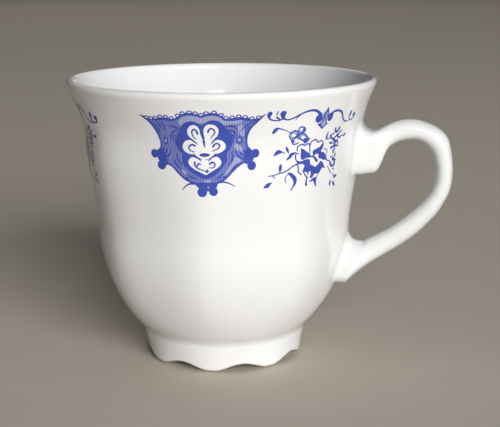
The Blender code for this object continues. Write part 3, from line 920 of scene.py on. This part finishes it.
prints = []
for number, degrees in enumerate(PRINT_TURNS):
    turn = math.radians(degrees) + sheet_points[:, 0] / PRINT_RADIUS
    z = sheet_points[:, 1] * MM
    normals = wall_normal(turn, z)
    places = wall_place(turn, z, 0) + normals * PRINT_LIFT + shift
    name = "cobalt_print_%d" % (number + 1)
    mesh = bpy.data.meshes.new(name)
    mesh.from_pydata(places.tolist(), [], sheet_faces.tolist())
    sheet = bpy.data.objects.new(name, mesh)
    bpy.context.scene.collection.objects.link(sheet)
    mesh.polygons.foreach_set("material_index", tones.astype(np.int32))
    layer = mesh.uv_layers.new(name="print_mm")
    layer.uv.foreach_set("vector", sheet_points[sheet_faces.ravel()].astype(np.float32).ravel())
    mesh.shade_smooth()
    mesh.normals_split_custom_set_from_vertices(normals.tolist())
    prints.append(sheet)
facing = prints[0].data.polygons[0].normal.dot(Vector(wall_normal(turn[:1], z[:1])[0]))
print("prints wrapped:", len(prints), "first face turned out:", round(facing, 2))

# %% [markdown]
# ## Shader maths in plain Python
# A material is a net of nodes. To write `0.35 + 0.3 * mask` instead of wiring two boxes, one small
# class wraps an output socket and lets Python's operators add the Math nodes.

# %% The socket wrapper
class Wire:
    """One output socket. Sums on it add Math nodes, and node() adds any other node."""

    def __init__(self, tree, socket=None):
        self.tree = tree
        self.socket = socket

    def node(self, kind, settings=None, values=None, output=0):
        made = self.tree.nodes.new(kind)
        for name, value in (settings or {}).items():
            setattr(made, name, value)
        for key, value in (values or {}).items():
            if isinstance(value, Wire):
                self.tree.links.new(value.socket, made.inputs[key])
            else:
                made.inputs[key].default_value = value
        return Wire(self.tree, made.outputs[output])

    def noise(self, place, scale, detail):
        values = {"Vector": place, "Scale": scale, "Detail": detail}
        return self.node("ShaderNodeTexNoise", None, values)

    def math(self, operation, first, second=0.0):
        return self.node("ShaderNodeMath", {"operation": operation}, {0: first, 1: second})

    def mix(self, factor, first, second):
        """A colour between two colours."""
        colours = {0: factor, 6: first, 7: second}
        return self.node("ShaderNodeMix", {"data_type": "RGBA"}, colours, output=2)

    def __add__(self, other):
        return self.math("ADD", self, other)

    __radd__ = __add__

    def __mul__(self, other):
        return self.math("MULTIPLY", self, other)

    __rmul__ = __mul__

    def clamped(self):
        """The same value, held between 0 and 1."""
        held = self.math("MULTIPLY", self, 1.0)
        held.socket.node.use_clamp = True
        return held


OBJECT_OUTPUT = 3


def new_finish(name):
    """An empty material: its wire starter and its Principled shader."""
    finish = bpy.data.materials.new(name)
    finish.use_nodes = True
    return finish, Wire(finish.node_tree), finish.node_tree.nodes["Principled BSDF"]


def plug(start, shader, values):
    """Wires or sets the shader's inputs."""
    for key, value in values.items():
        if isinstance(value, Wire):
            start.tree.links.new(value.socket, shader.inputs[key])
        else:
            shader.inputs[key].default_value = value


def glaze_skin(start, place):
    """The glaze's faint waves, as a bump, and its uneven gloss, as a roughness."""
    wavy = start.noise(place, 130.0, 1.0)
    fine = start.noise(place, 520.0, 2.0)
    values = {"Strength": 0.35, "Distance": 0.00006, "Height": wavy}
    return start.node("ShaderNodeBump", None, values), fine


# %% [markdown]
# ## Glazed porcelain
# The glaze is a thin glass over a white body. Its colour drifts a little between warm and cool,
# its gloss is not quite even, and its surface is faintly wavy, which breaks up reflections. Where
# it pools it turns green-grey, and the same tint, laid thinly over the whole handle, is painted
# shade. The foot's standing edge is wiped bare, so it is matt and slightly buff. Object
# coordinates keep the pattern fixed to the cup.

# %% The glaze
WARM_WHITE = (0.850, 0.842, 0.832, 1)
COOL_WHITE = (0.850, 0.860, 0.865, 1)
# green-grey of pooled glaze, also used as painted shade along the handle
POOL_AND_SHADE_TINT = (0.60, 0.66, 0.62, 1)
BARE_CLAY = (0.70, 0.655, 0.59, 1)
GLAZE_IOR = 1.52
GLOSS = 0.10
GLOSS_DRIFT = 0.06
BARE_MATT = 0.55

glaze, start, shader = new_finish("white_glaze")
place = start.node("ShaderNodeTexCoord", output=OBJECT_OUTPUT)
drift = start.noise(place, 45.0, 3.0)
bump, fine = glaze_skin(start, place)
pool_and_shade = start.node("ShaderNodeAttribute", {"attribute_name": "pool_and_shade"}, output=2)
bare = start.node("ShaderNodeAttribute", {"attribute_name": "bare"}, output=2)
body_tone = start.mix(drift, WARM_WHITE, COOL_WHITE)
# green-grey of pooled glaze at the joints and waist, and painted shade along the whole handle
pooled_and_shaded = start.mix((pool_and_shade * (0.35 + 0.3 * fine)).clamped(), body_tone, POOL_AND_SHADE_TINT)
plug(start, shader, {
    "Base Color": start.mix(bare, pooled_and_shaded, BARE_CLAY),
    "Roughness": GLOSS + GLOSS_DRIFT * fine + BARE_MATT * bare,
    "Normal": bump,
    "IOR": GLAZE_IOR,
})
for piece in (cup, handle):
    piece.data.materials.clear()
    piece.data.materials.append(glaze)
print("glaze nodes:", len(glaze.node_tree.nodes))

# %% [markdown]
# ## Cobalt under the glaze
# Cobalt blue sinks into the glaze, so it is as glossy as the white round it and shares its
# faint waves. Where the plate was engraved deep the blue is dense and a little mottled. Where it
# was hatched, fine and nearly upright lines let the white through, more of it at the pale strength
# than at the middle one. The hatching is worked out from the drawing's own millimetres.

# %% The cobalt finishes
COBALT_DEEP = (0.016, 0.034, 0.29, 1)
COBALT_LIGHT = (0.042, 0.088, 0.50, 1)
GLAZED_WHITE = (0.83, 0.85, 0.88, 1)
HATCH_PITCH = 0.38
HATCH_SLANT = 0.05
INKS = (
    # name, share of blue between the lines, share on the lines
    ("cobalt_solid", 0.96, 1.0),
    ("cobalt_hatched", 0.72, 0.97),
    ("cobalt_pale", 0.46, 0.78),
)
for name, between, on_line in INKS:
    ink, start, shader = new_finish(name)
    place = start.node("ShaderNodeTexCoord", output=OBJECT_OUTPUT)
    flat = start.node("ShaderNodeUVMap", {"uv_map": "print_mm"})
    mottle = start.noise(place, 420.0, 3.0)
    bump, fine = glaze_skin(start, place)
    u = start.node("ShaderNodeSeparateXYZ", None, {"Vector": flat}, output=0)
    v = start.node("ShaderNodeSeparateXYZ", None, {"Vector": flat}, output=1)
    lines = start.math("SINE", (u + HATCH_SLANT * v) * (TURN / HATCH_PITCH))
    share = (between + (on_line - between) * (0.5 + 0.7 * lines)).clamped()
    blue = start.mix(mottle, COBALT_DEEP, COBALT_LIGHT)
    plug(start, shader, {
        "Base Color": start.mix(share, GLAZED_WHITE, blue),
        "Roughness": GLOSS + GLOSS_DRIFT * fine,
        "Normal": bump,
        "IOR": GLAZE_IOR,
    })
    for sheet in prints:
        sheet.data.materials.append(ink)
print("inks:", [row[0] for row in INKS])

# %% [markdown]
# ## Riding on the frame
# The cup has no moving parts, so every piece rides on the one body, and the smooth pieces stand
# for the frame's coarser ones.

# %% Ride and replace
for piece in (cup, handle, *prints):
    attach(piece, "root")
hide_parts("bowl", "foot_ring", "foot_slip_seam")
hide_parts("handle", "upper_slip_seam", "lower_slip_seam")

# %% [markdown]
# ## The table, the lights and the camera
# The cup stands on a plain pale sheet, a hair below the foot, so that the two never flicker. It is
# staged, not part of the cup.

# %% Floor
FLOOR_SIZE = 12.0
FLOOR_DROP = 0.2 * MM
SHEET_DARK = (0.52, 0.465, 0.395, 1)
SHEET_LIGHT = (0.56, 0.505, 0.435, 1)

start_clean()
bpy.ops.mesh.primitive_plane_add(size=FLOOR_SIZE, location=(0, 0, -FLOOR_DROP))
floor = name_piece("pale_floor")
sheet, start, shader = new_finish("pale_sheet")
place = start.node("ShaderNodeTexCoord", output=OBJECT_OUTPUT)
grain = start.noise(place, 60.0, 4.0)
plug(start, shader, {"Base Color": start.mix(grain, SHEET_DARK, SHEET_LIGHT), "Roughness": 0.8})
floor.data.materials.append(sheet)

# %% [markdown]
# A big soft light stands in front and to the right, as a window would, and the left stays dim, so
# that the round wall shows its shape. A wider, weaker light behind lifts the sheet a little. An area
# light shines forward only, so both stand far off, with the dark sheet behind them out of sight.

# %% Lights
ROOM_COLOUR = (0.84, 0.80, 0.76, 1)
ROOM_STRENGTH = 0.06
LIGHTS = (
    # name, width, watts, place, what it is aimed at, colour
    ("key_window", 1.5, 75.0, (1.25, -2.04, 0.88), (AXIS, 0.0, 0.04), (1.0, 1.0, 1.0)),
    ("back_soft", 3.0, 18.0, (-0.7, 2.6, 2.2), (AXIS, 0.3, 0.0), (1.0, 0.98, 0.96)),
)
for name, wide, watts, where, target, colour in LIGHTS:
    start_clean()
    bpy.ops.object.light_add(type="AREA", location=where)
    lamp = bpy.context.object
    lamp.name = name
    lamp.data.size = wide
    lamp.data.energy = watts
    lamp.data.color = colour
    lamp.rotation_euler = (Vector(target) - Vector(where)).to_track_quat("-Z", "Y").to_euler()
world = bpy.data.worlds.new("soft_room")
world.use_nodes = True
room = world.node_tree.nodes["Background"]
room.inputs["Color"].default_value = ROOM_COLOUR
room.inputs["Strength"].default_value = ROOM_STRENGTH
bpy.context.scene.world = world
bpy.context.scene.view_settings.view_transform = "Standard"
print("lights:", [row[0] for row in LIGHTS])

# %% [markdown]
# The camera looks slightly down at the print, with the handle on the right. The lens is long, as in
# a catalogue picture, so the rim and the foot keep their true proportions.

# %% Camera
CAMERA_PLACE = (0.0405, -0.3022, 0.1089)
CAMERA_DEGREES = (77.2516, 0.2403, 8.1075)
LENS_MM, SENSOR_MM = 78.98, 36.0

start_clean()
bpy.ops.object.camera_add(location=CAMERA_PLACE, rotation=[math.radians(a) for a in CAMERA_DEGREES])
camera = bpy.context.object
camera.data.lens = LENS_MM
camera.data.sensor_width = SENSOR_MM
camera.data.clip_start = 10 * MM
bpy.context.scene.camera = camera
print("camera lens:", camera.data.lens, "mm")
